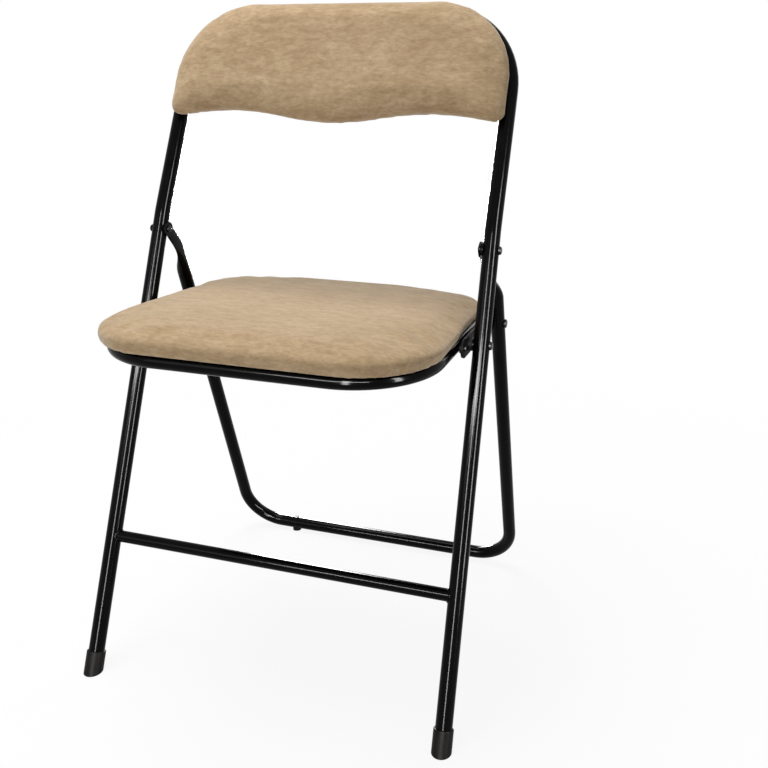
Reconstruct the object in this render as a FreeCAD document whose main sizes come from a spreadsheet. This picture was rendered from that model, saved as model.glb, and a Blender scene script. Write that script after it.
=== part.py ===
import FreeCAD, Part
import math
import os

V = FreeCAD.Vector
Rotation = FreeCAD.Rotation
Placement = FreeCAD.Placement

# Folding chair with a padded seat and back. Millimetres, degrees. +Z is up, the front faces -Y,
# and the origin lies on the floor at the middle of the chair.
# The front frame is one bent tube: two legs and the backrest hoop. The rear legs are one U-bent tube
# hung on the front legs above the seat, and the seat is hung on the front legs at its side tubes.
SIZES = {
    # front frame
    "overall_height": 790.0,
    "tube_dia": 19.0,
    "tube_wall": 1.2,
    "frame_half_width": 215.4,
    "foot_splay": 4.6,
    "front_foot_y": -190.0,
    "leg_lean_angle": 20.6,
    "back_lean_angle": 25.1,
    "back_bend_rise": 24.0,
    "back_bend_radius": 150.0,
    "hoop_radius": 102.0,
    "crossbar_z": 153.0,
    "crossbar_dia": 14.0,
    "crossbar_wall": 1.0,
    "weld_gap": 0.1,
    "cap_dia": 22.4,
    "cap_length": 17.0,
    "cap_floor": 4.0,
    "cap_fit": 0.1,
    # pivots
    "leg_pivot_z": 513.6,
    "seat_pivot_z": 412.0,
    "rivet_dia": 6.0,
    "rivet_head_dia": 10.0,
    "rivet_head_height": 3.0,
    "rivet_tail_dia": 8.4,
    "rivet_tail_height": 1.5,
    "seat_rivet_dia": 7.0,
    "running_clearance": 0.05,
    "fixed_clearance": 0.05,
    "face_gap": 0.3,
    "washer_dia": 14.0,
    "washer_thick": 0.6,
    # rear legs
    "rear_tube_dia": 17.5,
    "rear_tube_wall": 1.2,
    "rear_leg_inset": 1.9,
    "rear_lean_angle": 19.9,
    "rear_corner_radius": 55.0,
    "rear_base_z": 12.0,
    "slide_pin_y": 62.5,
    "flat_length": 78.0,
    "eye_radius": 9.0,
    "eye_thick": 2.2,
    "glide_inset": 24.5,
    "glide_dia": 13.0,
    "glide_plug_dia": 8.0,
    "glide_plug_proud": 1.2,
    "slide_pin_dia": 8.0,
    "slide_pin_head_dia": 11.0,
    "slide_pin_head_height": 2.6,
    "slide_collar_dia": 13.0,
    # seat
    "seat_tube_dia": 16.0,
    "seat_tube_wall": 1.2,
    "seat_frame_inset": 26.9,
    "seat_frame_front_y": -203.0,
    "seat_frame_rear_y": 96.0,
    "seat_frame_front_radius": 90.0,
    "seat_frame_rear_radius": 58.0,
    "seat_board_thick": 9.0,
    "seat_cover_front_y": -216.0,
    "seat_cover_rear_y": 127.0,
    "seat_cover_front_inset": 12.6,
    "seat_cover_rear_inset": 26.4,
    "seat_cover_front_radius": 90.0,
    "seat_cover_rear_radius": 74.0,
    "seat_cover_front_rise": 28.8,
    "seat_cover_rear_rise": 18.6,
    "seat_tuck": 4.0,
    "seat_side_share": 0.38,
    "seat_crown": 120.0,
    "cover_thick": 1.5,
    "soft_gap": 0.4,
    "seat_screw_inset": 40.5,
    "side_plate_thick": 2.5,
    "side_plate_gap": 3.0,
    "side_plate_margin": 6.8,
    "side_plate_front_reach": 18.0,
    "slot_clearance": 0.3,
    "spacer_dia": 12.0,
    "bush_dia": 15.0,
    # backrest
    "pad_overhang": 0.6,
    "pad_top_rise": 2.0,
    "pad_height": 155.0,
    "pad_corner_radius": 98.0,
    "pad_wave_share": 0.61,
    "pad_wave_height": 14.0,
    "pad_thick": 24.0,
    "pad_tuck": 3.0,
    "pad_side_share": 0.35,
    "pad_crown": 26.0,
    "back_board_thick": 4.0,
    "lug_length": 24.0,
    "lug_width": 20.0,
    "lug_thick": 2.0,
    "side_lug_drop": 118.0,
    "top_lug_inset": 28.4,
    "screw_dia": 4.0,
    "screw_head_dia": 8.0,
    "screw_head_height": 2.4,
    "back_screw_bite": 3.0,
    "seat_screw_bite": 6.0,
    "recess_width": 1.1,
    "recess_length": 4.6,
    "recess_depth": 1.2,
}

doc = FreeCAD.newDocument("folding_chair")
sheet = doc.addObject("Spreadsheet::Sheet", "sizes")
for row, (alias, value) in enumerate(SIZES.items(), start=1):
    sheet.set(f"A{row}", alias)
    sheet.set(f"B{row}", str(value))
    sheet.setAlias(f"B{row}", alias)
doc.recompute()


def size(alias):
    return float(sheet.get(alias))


def tangent(degrees):
    return math.tan(math.radians(degrees))


def leaning(degrees):
    """Unit vector that points up and leans back by an angle."""
    return V(0, math.sin(math.radians(degrees)), math.cos(math.radians(degrees)))


# Places that several pieces share.
tube_r = size("tube_dia") / 2
rear_r = size("rear_tube_dia") / 2
seat_r = size("seat_tube_dia") / 2
leg_up = leaning(size("leg_lean_angle"))
back_up = leaning(size("back_lean_angle"))
back_out = V(0, -back_up.z, back_up.y)
rear_down = leaning(size("rear_lean_angle")).scale(1, 1, -1)
rear_behind = V(0, -rear_down.z, rear_down.y)


def on_front_leg(z):
    """Side-view point on the axis of the front legs, at height z."""
    return V(0, size("front_foot_y") + z * tangent(size("leg_lean_angle")), z)


leg_pivot = on_front_leg(size("leg_pivot_z"))
seat_pivot = on_front_leg(size("seat_pivot_z"))
back_bend = leg_pivot + leg_up * size("back_bend_rise")
slide_pin = V(0, size("slide_pin_y"), size("seat_pivot_z"))
rear_offset = (slide_pin - leg_pivot).dot(rear_behind)
hoop_top_z = size("overall_height") - tube_r
hoop_top = back_bend + back_up * ((hoop_top_z - back_bend.z) / back_up.z)
leg_splay = size("foot_splay") / back_bend.z
QUARTER_TURN = 90.0


def leg_x(z):
    """Half the distance between the axes of the front legs, at height z."""
    return size("frame_half_width") + leg_splay * max(back_bend.z - z, 0)


def back_place(across, up, out):
    """Point of the backrest plane: up from the hoop's top axis, out from the axis plane."""
    return hoop_top + V(across, 0, 0) + back_up * up + back_out * out


# Widths, from the front legs inwards: washers, flattened leg ends; bushes, side plates, seat tubes.
rear_x = size("frame_half_width") - size("rear_leg_inset")
seat_x = size("frame_half_width") - size("seat_frame_inset")
glide_x = rear_x - size("rear_corner_radius") - size("glide_inset")
eye_outer_x = leg_x(leg_pivot.z) - tube_r - 2 * size("face_gap") - size("washer_thick")
eye_inner_x = eye_outer_x - size("eye_thick")
plate_inner_x = seat_x + seat_r + size("side_plate_gap")
plate_outer_x = plate_inner_x + size("side_plate_thick")

nodes = {}


def node(label, piece):
    """Give a finished piece the name that its file will have."""
    piece.Label = label
    nodes[label] = piece
    return piece


def solid(name, shape, place=Placement()):
    piece = doc.addObject("Part::Feature", name)
    piece.Shape = shape
    piece.Placement = place
    return piece


def rod(name, radius, height, base, axis):
    """Cylinder whose radius and height are expressions of the sheet."""
    piece = doc.addObject("Part::Cylinder", name)
    piece.setExpression("Radius", radius)
    piece.setExpression("Height", height)
    piece.Placement = Placement(base, Rotation(V(0, 0, 1), axis))
    return piece


def block(name, length, width, height, place):
    """Box whose three sides are expressions of the sheet."""
    piece = doc.addObject("Part::Box", name)
    piece.setExpression("Length", length)
    piece.setExpression("Width", width)
    piece.setExpression("Height", height)
    piece.Placement = place
    return piece


def cut(name, base, *tools):
    for count, tool in enumerate(tools, start=1):
        piece = doc.addObject("Part::Cut", f"{name}_cut{count}")
        piece.Base = base
        piece.Tool = tool
        base = piece
    return base


def fuse(name, pieces):
    piece = doc.addObject("Part::MultiFuse", name)
    piece.Shapes = pieces
    return piece


FAR_RIM = 3
HEAD_ROUNDING = 0.8
TAIL_ROUNDING = 0.6


def rounded(name, cylinder, radius):
    """Cylinder with a rounded rim at its far end."""
    piece = doc.addObject("Part::Fillet", name)
    piece.Base = cylinder
    piece.Edges = [(FAR_RIM, radius, radius)]
    return piece


def group(label, pieces):
    piece = doc.addObject("Part::Compound", label)
    piece.Links = pieces
    return node(label, piece)


def mirrored(name, piece):
    """The same piece on the other side of the chair."""
    twin = doc.addObject("Part::Mirroring", name)
    twin.Source = piece
    twin.Normal = V(1, 0, 0)
    twin.Base = V(0, 0, 0)
    return twin


def both_sides(label, piece):
    return group(label, [piece, mirrored(f"{label}_twin", piece)])


def rounded_edges(points, radii, closed=False):
    """Straight runs through the points, joined by tangent arcs of the given radii."""
    count = len(points)
    starts = []
    ends = []
    arcs = []
    for index, (corner, radius) in enumerate(zip(points, radii)):
        if radius == 0:
            starts.append(corner)
            ends.append(corner)
            arcs.append(None)
            continue
        back = (points[index - 1] - corner).normalize()
        ahead = (points[(index + 1) % count] - corner).normalize()
        half_angle = back.getAngle(ahead) / 2
        reach = radius / math.tan(half_angle)
        middle = corner + (back + ahead).normalize() * (radius / math.sin(half_angle) - radius)
        starts.append(corner + back * reach)
        ends.append(corner + ahead * reach)
        arcs.append(Part.Arc(starts[-1], middle, ends[-1]).toShape())
    edges = []
    for index in range(count):
        if arcs[index]:
            edges.append(arcs[index])
        follower = (index + 1) % count
        if follower or closed:
            edges.append(Part.LineSegment(ends[index], starts[follower]).toShape())
    return edges


def tube(path, dia, wall):
    """Hollow round tube along a path of straight runs and arcs."""
    first = path.Edges[0]
    start = first.valueAt(first.FirstParameter)
    along = first.tangentAt(first.FirstParameter)
    skins = []
    for radius in (dia / 2, dia / 2 - wall):
        ring = Part.Wire([Part.Circle(start, along, radius).toShape()])
        skins.append(path.makePipeShell([ring], True, False))
    return skins[0].cut(skins[1])


def drill(shape, radius, place, axis, depth):
    return shape.cut(Part.makeCylinder(radius, depth, place, axis))


# Front frame tube, with holes for both rivets of each leg.
cap_seat_z = size("cap_floor") + tube_r * leg_up.y
foot_end = on_front_leg(cap_seat_z)
frame_half = [V(leg_x(foot_end.z), 0, 0) + foot_end,
              V(size("frame_half_width"), 0, 0) + back_bend,
              V(size("frame_half_width"), 0, 0) + hoop_top]
frame_points = frame_half + [point.scale(-1, 1, 1) for point in
                             [V(corner) for corner in reversed(frame_half)]]
frame_radii = [0, size("back_bend_radius"), size("hoop_radius")]
frame_path = Part.Wire(rounded_edges(frame_points, frame_radii + frame_radii[::-1]))
frame_shape = tube(frame_path, size("tube_dia"), size("tube_wall"))
full_width = 2 * (size("frame_half_width") + size("foot_splay") + size("tube_dia"))
for pivot, dia in ((leg_pivot, "rivet_dia"), (seat_pivot, "seat_rivet_dia")):
    hole_r = size(dia) / 2 + size("fixed_clearance")
    frame_shape = drill(frame_shape, hole_r, pivot - V(full_width / 2, 0, 0), V(1, 0, 0), full_width)
node("front_frame_tube", solid("front_frame_tube", frame_shape))

# Foot caps: sockets on the leg ends, cut flat by the floor.
leg_axis = (frame_half[1] - frame_half[0]).normalize()
cap_start = frame_half[0] - leg_axis * size("cap_length")
cap_blank = rod("cap_body", "sizes.cap_dia / 2", "2 * sizes.cap_length", cap_start, leg_axis)
cap_body = rounded("cap_rim", cap_blank, size("tube_wall"))
cap_socket = rod("cap_socket", "sizes.tube_dia / 2 + sizes.cap_fit", "2 * sizes.cap_length",
                 frame_half[0], leg_axis)
cap_under = block("cap_under", "4 * sizes.cap_dia", "4 * sizes.cap_dia", "4 * sizes.cap_length",
                  Placement(V(frame_half[0].x - 2 * size("cap_dia"), foot_end.y - 2 * size("cap_dia"),
                              -4 * size("cap_length")), Rotation()))
left_cap = node("front_foot_cap_left", cut("front_foot_cap_left", cap_body, cap_socket, cap_under))
node("front_foot_cap_right", mirrored("front_foot_cap_right", left_cap))

# Crossbar between the front legs, with ends shaped to the legs it is welded to.
crossbar_place = on_front_leg(size("crossbar_z"))
crossbar_start = crossbar_place - V(leg_x(crossbar_place.z), 0, 0)
crossbar_rod = rod("crossbar_rod", "sizes.crossbar_dia / 2", f"{2 * leg_x(crossbar_place.z)}",
                   crossbar_start, V(1, 0, 0))
crossbar_bore = rod("crossbar_bore", "sizes.crossbar_dia / 2 - sizes.crossbar_wall",
                    f"{2 * leg_x(crossbar_place.z)}", crossbar_start, V(1, 0, 0))
left_cope = rod("left_cope", "sizes.tube_dia / 2 + sizes.weld_gap", "sizes.leg_pivot_z",
                frame_half[0], leg_axis)
node("front_crossbar", cut("front_crossbar", crossbar_rod, crossbar_bore, left_cope,
                           mirrored("right_cope", left_cope)))


# Rear legs: a U-bent tube whose upper ends are pressed flat, bent forward and pierced for the rivets.
def rear_place(across, down, behind):
    """Point of the rear legs: down along them from the leg pivot, and behind it."""
    return leg_pivot + V(across, 0, 0) + rear_down * down + rear_behind * behind


rear_top = rear_place(rear_x, size("flat_length"), rear_offset)
rear_drop = (leg_pivot.z + rear_behind.z * rear_offset - size("rear_base_z")) / -rear_down.z
rear_corner = rear_place(rear_x, rear_drop, rear_offset)
rear_points = [rear_top, rear_corner, V(rear_corner).scale(-1, 1, 1), V(rear_top).scale(-1, 1, 1)]
rear_radii = [0, size("rear_corner_radius"), size("rear_corner_radius"), 0]
rear_path = Part.Wire(rounded_edges(rear_points, rear_radii))
rear_shape = tube(rear_path, size("rear_tube_dia"), size("rear_tube_wall"))

FLAT_STEPS = (1.0, 0.85, 0.7, 0.55, 0.4, 0.25, 0.08)
FLAT_SHARE = 0.38
BEND_POWER = 1.5
EYE_INSET = 0.15
eye_x = (eye_inner_x + eye_outer_x) / 2


def flat_section(share):
    """Ellipse of the pressed end, at a share of the way from the pivot to the round tube."""
    ease = max(share - FLAT_SHARE, 0) / (1 - FLAT_SHARE)
    ease = ease * ease * (3 - 2 * ease)
    half_thick = size("eye_thick") / 2 - EYE_INSET
    half_wide = size("eye_radius") - EYE_INSET
    behind = rear_offset * (1 - (1 - share) ** BEND_POWER)
    centre = rear_place(eye_x + (rear_x - eye_x) * ease, size("flat_length") * share, behind)
    wide = half_wide + (rear_r - half_wide) * ease
    thick = half_thick + (rear_r - half_thick) * ease
    if wide - thick < EYE_INSET:
        return Part.Wire([Part.Circle(centre, rear_down, rear_r).toShape()])
    ellipse = Part.Ellipse(centre + rear_behind * wide, centre + V(thick, 0, 0), centre)
    return Part.Wire([ellipse.toShape()])


flat_end = Part.makeLoft([flat_section(share) for share in FLAT_STEPS], True, False)
eye = Part.makeCylinder(size("eye_radius"), size("eye_thick"), leg_pivot + V(eye_inner_x, 0, 0), V(1, 0, 0))
flat_end = drill(flat_end.fuse(eye), size("rivet_dia") / 2 + size("running_clearance"),
                 leg_pivot, V(1, 0, 0), full_width)
rear_shape = rear_shape.fuse([flat_end, flat_end.mirror(V(0, 0, 0), V(1, 0, 0))]).removeSplitter()
pin_hole_r = size("slide_pin_dia") / 2 + size("fixed_clearance")
rear_shape = drill(rear_shape, pin_hole_r, slide_pin - V(full_width / 2, 0, 0), V(1, 0, 0), full_width)
plug_hole_r = size("glide_plug_dia") / 2 + size("fixed_clearance")
for side in (1, -1):
    plug_foot = V(side * glide_x, rear_corner.y, 0)
    rear_shape = drill(rear_shape, plug_hole_r, plug_foot, V(0, 0, 1), 2 * size("rear_base_z"))
node("rear_leg_tube", solid("rear_leg_tube", rear_shape))

# Glides: buttons under the rear tube that the chair stands on, with plugs through the tube.
glide_foot = V(glide_x, rear_corner.y, 0)
glide_button = rod("glide_button", "sizes.glide_dia / 2", "sizes.rear_base_z", glide_foot, V(0, 0, 1))
plug_height = "sizes.rear_base_z + sizes.rear_tube_dia / 2 + sizes.glide_plug_proud"
glide_plug = rod("glide_plug", "sizes.glide_plug_dia / 2", plug_height, glide_foot, V(0, 0, 1))
glide_cope = rod("glide_cope", "sizes.rear_tube_dia / 2 + sizes.fixed_clearance", "2 * sizes.glide_dia",
                 V(glide_x - size("glide_dia"), rear_corner.y, size("rear_base_z")),
                 V(1, 0, 0))
left_glide = fuse("rear_glide_left", [cut("glide_seat", glide_button, glide_cope), glide_plug])
node("rear_glide_left", left_glide)
node("rear_glide_right", mirrored("rear_glide_right", left_glide))


# Rivets through the front legs, headed outside and spread inside.
def rivet(label, pivot, dia, tail_x):
    head_x = leg_x(pivot.z) + tube_r + size("fixed_clearance")
    shank = rod(f"{label}_shank", f"sizes.{dia} / 2", f"{head_x - tail_x}", pivot + V(tail_x, 0, 0),
                V(1, 0, 0))
    head = rounded(f"{label}_head", rod(f"{label}_head_rod", "sizes.rivet_head_dia / 2",
                                        "sizes.rivet_head_height", pivot + V(head_x, 0, 0), V(1, 0, 0)),
                   size("rivet_head_height") * HEAD_ROUNDING)
    tail = rounded(f"{label}_tail", rod(f"{label}_tail_rod", f"sizes.{dia} / 2 + {tail_flare}",
                                        "sizes.rivet_tail_height", pivot + V(tail_x, 0, 0), V(-1, 0, 0)),
                   size("rivet_tail_height") * TAIL_ROUNDING)
    return both_sides(label, fuse(f"{label}_one", [shank, head, tail]))


tail_flare = (size("rivet_tail_dia") - size("rivet_dia")) / 2
seat_tail_x = seat_x - seat_r - size("face_gap")
rivet("leg_pivot_rivets", leg_pivot, "rivet_dia", eye_inner_x - size("face_gap"))
rivet("seat_pivot_rivets", seat_pivot, "seat_rivet_dia", seat_tail_x)


def ring(name, outer, inner, thick, place):
    """Flat ring or sleeve along X."""
    body = rod(f"{name}_body", outer, thick, place, V(1, 0, 0))
    bore = rod(f"{name}_bore", inner, thick, place, V(1, 0, 0))
    return cut(name, body, bore)


both_sides("leg_pivot_washers", ring("leg_washer", "sizes.washer_dia / 2",
                                     "sizes.rivet_dia / 2 + sizes.running_clearance", "sizes.washer_thick",
                                     leg_pivot + V(eye_outer_x + size("face_gap"), 0, 0)))

# Seat frame: a closed ring of tube under the board, pierced for the rivets, side screws and board screws.
seat_corners = [V(side * seat_x, y, size("seat_pivot_z"))
                for side, y in ((1, size("seat_frame_rear_y")), (1, size("seat_frame_front_y")),
                                (-1, size("seat_frame_front_y")), (-1, size("seat_frame_rear_y")))]
seat_radii = [size("seat_frame_rear_radius"), size("seat_frame_front_radius"),
              size("seat_frame_front_radius"), size("seat_frame_rear_radius")]
seat_path = Part.Wire(rounded_edges(seat_corners, seat_radii, closed=True))
seat_shape = tube(seat_path, size("seat_tube_dia"), size("seat_tube_wall"))
seat_hole_r = size("seat_rivet_dia") / 2 + size("running_clearance")
seat_shape = drill(seat_shape, seat_hole_r, seat_pivot - V(full_width / 2, 0, 0), V(1, 0, 0), full_width)

side_screw_places = [seat_pivot - V(0, size("side_plate_front_reach"), 0), (seat_pivot + slide_pin) / 2]
screw_hole_r = size("screw_dia") / 2 + size("fixed_clearance")
for place in side_screw_places:
    for side in (1, -1):
        seat_shape = drill(seat_shape, screw_hole_r, place + V(side * seat_x, 0, 0),
                           V(side, 0, 0), full_width)
board_screw_x = seat_x - size("seat_frame_front_radius") - size("seat_screw_inset")
bore_r = seat_r - size("seat_tube_wall")
screw_seat_z = math.sqrt(bore_r ** 2 - (size("screw_head_dia") / 2) ** 2) - size("fixed_clearance")
access_hole_r = size("screw_head_dia") / 2 + size("slot_clearance")
board_screw_places = [V(side * board_screw_x, y, size("seat_pivot_z") + screw_seat_z)
                      for y in (size("seat_frame_front_y"), size("seat_frame_rear_y")) for side in (1, -1)]
for place in board_screw_places:
    seat_shape = drill(seat_shape, screw_hole_r, place, V(0, 0, 1), seat_r)
    seat_shape = drill(seat_shape, access_hole_r, place, V(0, 0, -1), 2 * seat_r)
node("seat_frame_tube", solid("seat_frame_tube", seat_shape))

# Side plates with hooked slots: the rear legs' pins sit at the closed end, and leave through the open one
# while the chair folds.
leg_swing = size("leg_lean_angle") + size("rear_lean_angle")
seat_swing = QUARTER_TURN + size("leg_lean_angle")
to_pin = slide_pin - leg_pivot
folded_pin = leg_pivot + Rotation(V(1, 0, 0), -leg_swing).multVec(to_pin)
slot_end = Rotation(V(1, 0, 0), seat_swing).multVec(folded_pin - seat_pivot)
slot_start = slide_pin - seat_pivot
slot_r = size("slide_pin_dia") / 2 + size("slot_clearance")
plate_r = slot_r + size("side_plate_margin")
front_lug = V(0, -size("side_plate_front_reach"), 0)
HOOK_SHARE = 0.2


def band(ends, radius, thick):
    """Flat bar with round ends between two points, thick along X."""
    start, end = ends
    across = V(1, 0, 0).cross((end - start).normalize()) * radius
    along = (end - start).normalize() * radius
    edges = [Part.LineSegment(start + across, end + across).toShape(),
             Part.Arc(end + across, end + along, end - across).toShape(),
             Part.LineSegment(end - across, start - across).toShape(),
             Part.Arc(start - across, start - along, start + across).toShape()]
    return Part.Face(Part.Wire(edges)).extrude(V(thick, 0, 0))


def side_plate():
    thick = size("side_plate_thick")
    rise = V(0, 0, plate_r)
    hook_tip = slot_start + (slot_end - slot_start) * HOOK_SHARE
    mouth = Part.Face(Part.makePolygon([hook_tip, slot_end, slot_end + rise, hook_tip + rise, hook_tip]))
    plate = band((front_lug, slot_start), plate_r, thick)
    plate = plate.cut(band((slot_start, slot_end), slot_r, thick)).cut(mouth.extrude(V(thick, 0, 0)))
    plate = drill(plate, seat_hole_r, V(), V(1, 0, 0), thick)
    for place in side_screw_places:
        plate = drill(plate, screw_hole_r, place - seat_pivot, V(1, 0, 0), thick)
    return plate


plate_place = Placement(seat_pivot + V(plate_inner_x, 0, 0), Rotation())
left_plate = solid("seat_side_plate_left", side_plate(), plate_place)
node("seat_side_plate_left", left_plate)
node("seat_side_plate_right", mirrored("seat_side_plate_right", left_plate))


# Pan-head screws with a cross recess: the head's underside at the origin, the shank along +Z.
def screw(name, shank_length, place):
    shank = rod(f"{name}_shank", "sizes.screw_dia / 2", f"{shank_length}", V(), V(0, 0, 1))
    head = rounded(f"{name}_head", rod(f"{name}_head_rod", "sizes.screw_head_dia / 2",
                                       "sizes.screw_head_height", V(), V(0, 0, -1)),
                   size("screw_head_height") * TAIL_ROUNDING)
    half = size("recess_length") / 2
    slit = size("recess_width") / 2
    depth_z = -size("screw_head_height")
    bars = [block(f"{name}_bar1", "sizes.recess_length", "sizes.recess_width", "sizes.recess_depth",
                  Placement(V(-half, -slit, depth_z), Rotation())),
            block(f"{name}_bar2", "sizes.recess_width", "sizes.recess_length", "sizes.recess_depth",
                  Placement(V(-slit, -half, depth_z), Rotation()))]
    piece = cut(name, fuse(f"{name}_blank", [shank, head]), *bars)
    piece.Placement = place
    return piece


side_screw_length = size("side_plate_thick") + size("side_plate_gap") + seat_r
side_screws = [screw(f"side_screw{count}", side_screw_length,
                     Placement(place + V(plate_outer_x, 0, 0), Rotation(V(0, 0, 1), V(-1, 0, 0))))
               for count, place in enumerate(side_screw_places, start=1)]
group("side_plate_screws", side_screws + [mirrored(f"{piece.Name}_twin", piece) for piece in side_screws])

spacer_start_x = seat_x + seat_r
spacers = [ring(f"spacer{count}", "sizes.spacer_dia / 2", "sizes.screw_dia / 2 + sizes.fixed_clearance",
                "sizes.side_plate_gap", place + V(spacer_start_x, 0, 0))
           for count, place in enumerate(side_screw_places, start=1)]
group("side_plate_spacers", spacers + [mirrored(f"{piece.Name}_twin", piece) for piece in spacers])

bush_length = leg_x(seat_pivot.z) - tube_r - size("face_gap") - plate_outer_x
both_sides("seat_pivot_bushes", ring("seat_bush", "sizes.bush_dia / 2",
                                     "sizes.seat_rivet_dia / 2 + sizes.running_clearance", f"{bush_length}",
                                     seat_pivot + V(plate_outer_x, 0, 0)))

# Slide pins through the rear legs, which end just short of the side plates, and their collars.
pin_end_x = plate_outer_x + size("face_gap")
pin_head_x = rear_x + rear_r + size("fixed_clearance")
pin_shank = rod("pin_shank", "sizes.slide_pin_dia / 2", f"{pin_head_x - pin_end_x}",
                slide_pin + V(pin_end_x, 0, 0), V(1, 0, 0))
pin_head_rod = rod("pin_head_rod", "sizes.slide_pin_head_dia / 2", "sizes.slide_pin_head_height",
                   slide_pin + V(pin_head_x, 0, 0), V(1, 0, 0))
pin_head = rounded("pin_head", pin_head_rod, size("slide_pin_head_height") * HEAD_ROUNDING)
both_sides("slide_pins", fuse("slide_pin_one", [pin_shank, pin_head]))
collar_length = rear_x - rear_r - size("fixed_clearance") - pin_end_x
both_sides("slide_pin_collars", ring("slide_collar", "sizes.slide_collar_dia / 2",
                                     "sizes.slide_pin_dia / 2 + sizes.fixed_clearance", f"{collar_length}",
                                     slide_pin + V(pin_end_x, 0, 0)))

CROWN_STEPS = 5
SEAT_CROWN_POWER = 1.7
PAD_CROWN_POWER = 1.3


def cushion_levels(tuck, side_share, crown, power):
    """Shares of a cushion's rise, each with an inset of its outline: drawn-in edge, side, crown."""
    levels = [(0.0, tuck), (side_share / 2, tuck / 4), (side_share, 0.0)]
    for step in range(1, CROWN_STEPS + 1):
        turn = math.radians(QUARTER_TURN * step / CROWN_STEPS)
        share = side_share + (1 - side_share) * math.sin(turn)
        levels.append((share, crown * (1 - math.cos(turn)) ** power))
    return levels


def beyond(shape, start, direction):
    """The part of a shape that lies past a plane."""
    return shape.common(Part.makeCylinder(full_width, full_width, start, direction))


# Seat cushion: board, foam and cover.
seat_levels = cushion_levels(size("seat_tuck"), size("seat_side_share"), size("seat_crown"),
                             SEAT_CROWN_POWER)
cover_base_z = size("seat_pivot_z") + seat_r + size("weld_gap")


def seat_outline(inset, z):
    front_x = size("frame_half_width") - size("seat_cover_front_inset") - inset
    back_x = size("frame_half_width") - size("seat_cover_rear_inset") - inset
    front_y = size("seat_cover_front_y") + inset
    rear_y = size("seat_cover_rear_y") - inset
    corners = [V(back_x, rear_y, z), V(front_x, front_y, z),
               V(-front_x, front_y, z), V(-back_x, rear_y, z)]
    rear_radius = size("seat_cover_rear_radius") - inset / 2
    front_radius = size("seat_cover_front_radius") - inset / 2
    radii = [rear_radius, front_radius, front_radius, rear_radius]
    return Part.Wire(rounded_edges(corners, radii, closed=True))


def seat_section(inset, share, drop):
    """Outline at a share of the cushion's rise, in a plane that falls towards the rear."""
    front_y = size("seat_cover_front_y")
    fall = share * (size("seat_cover_front_rise") - size("seat_cover_rear_rise"))
    slope = math.degrees(math.atan2(fall, size("seat_cover_rear_y") - front_y))
    lift = V(0, 0, cover_base_z + share * size("seat_cover_front_rise") - drop)
    section = seat_outline(inset, 0)
    section.Placement = Placement(lift, Rotation(V(1, 0, 0), -slope), V(0, front_y, 0))
    return section


def seat_form(inset, base_drop):
    """Crowned cushion, smaller all round by an inset, and reaching lower by a drop."""
    sections = [seat_section(level_inset + inset, share, inset if share else base_drop)
                for share, level_inset in seat_levels]
    return Part.makeLoft(sections, True, True)


board_inset = size("seat_tuck") + size("cover_thick") + size("soft_gap")
board_top_z = cover_base_z + size("seat_board_thick")
seat_board = Part.Face(seat_outline(board_inset, cover_base_z)).extrude(V(0, 0, size("seat_board_thick")))
bite_depth = size("seat_screw_bite") + size("fixed_clearance")
for place in board_screw_places:
    seat_board = drill(seat_board, screw_hole_r, V(place.x, place.y, cover_base_z), V(0, 0, 1), bite_depth)
node("seat_board", solid("seat_board", seat_board))
seat_hollow = seat_form(size("cover_thick"), size("cover_thick"))
node("seat_cover", solid("seat_cover", seat_form(0, 0).cut(seat_hollow)))
foam_inset = size("cover_thick") + size("soft_gap")
foam_base = V(0, 0, board_top_z + size("soft_gap"))
node("seat_foam", solid("seat_foam", beyond(seat_form(foam_inset, 0), foam_base, V(0, 0, 1))))

board_screw_length = seat_r - screw_seat_z + size("weld_gap") + size("seat_screw_bite")
board_screws = [screw(f"board_screw{count}", board_screw_length, Placement(place, Rotation()))
                for count, place in enumerate(board_screw_places, start=1)]
group("seat_board_screws", board_screws)

# Backrest pad: board, foam and cover on the front of the hoop, with a waved lower edge.
pad_levels = cushion_levels(size("pad_tuck"), size("pad_side_share"), size("pad_crown"), PAD_CROWN_POWER)
pad_back = tube_r + size("weld_gap")


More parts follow.
